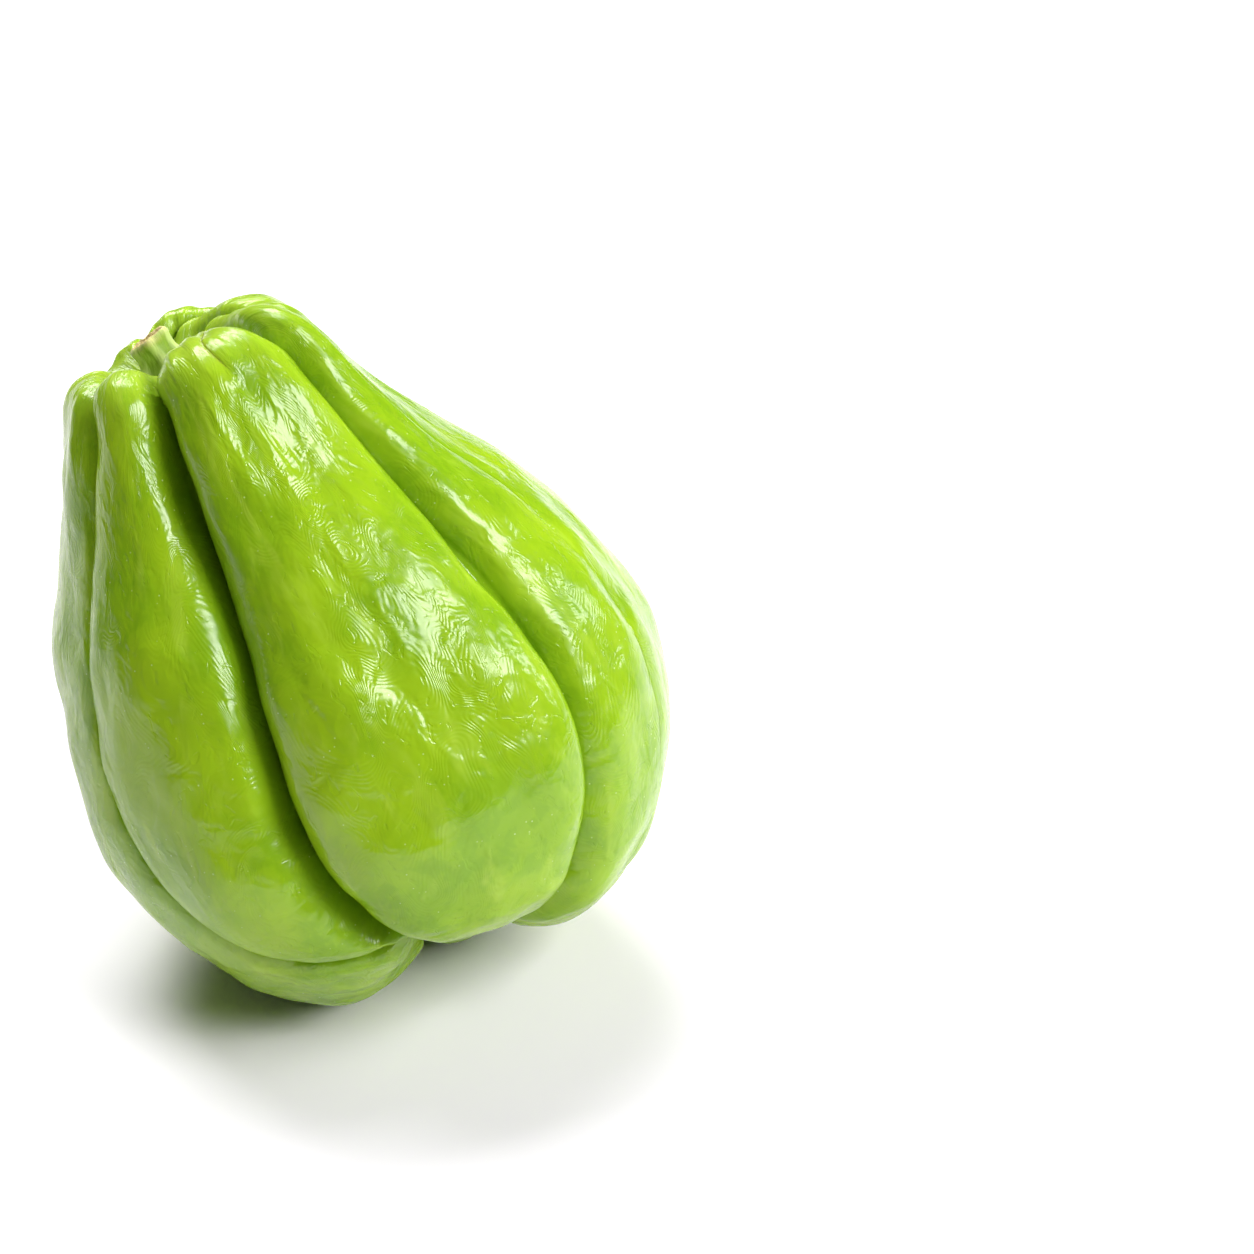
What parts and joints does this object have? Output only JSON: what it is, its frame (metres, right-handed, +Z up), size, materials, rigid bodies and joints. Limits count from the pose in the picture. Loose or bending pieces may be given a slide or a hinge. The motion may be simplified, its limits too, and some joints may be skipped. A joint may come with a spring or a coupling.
{
  "type": "chayote squash",
  "caption": "Whole pear-shaped green chayote with deep lengthwise furrows and the cut stub of its stem, standing on its blossom end.",
  "frame": {"origin": "middle of the object's box, on the surface it stands on", "axes": "+Z up, with the stem end leaning toward -X and a little toward +Y; -Y is the front"},
  "size_m": [0.1014, 0.0932, 0.1161],
  "materials": {
    "skin": "waxy, glossy yellow-green skin with fine wrinkles and darker streaks",
    "stem": "matt green stub with a dry, fibrous, tan cut end"
  },
  "bodies": {
    "root": {"fruit": "skin", "stem": "stem"}
  },
  "joints": []
}
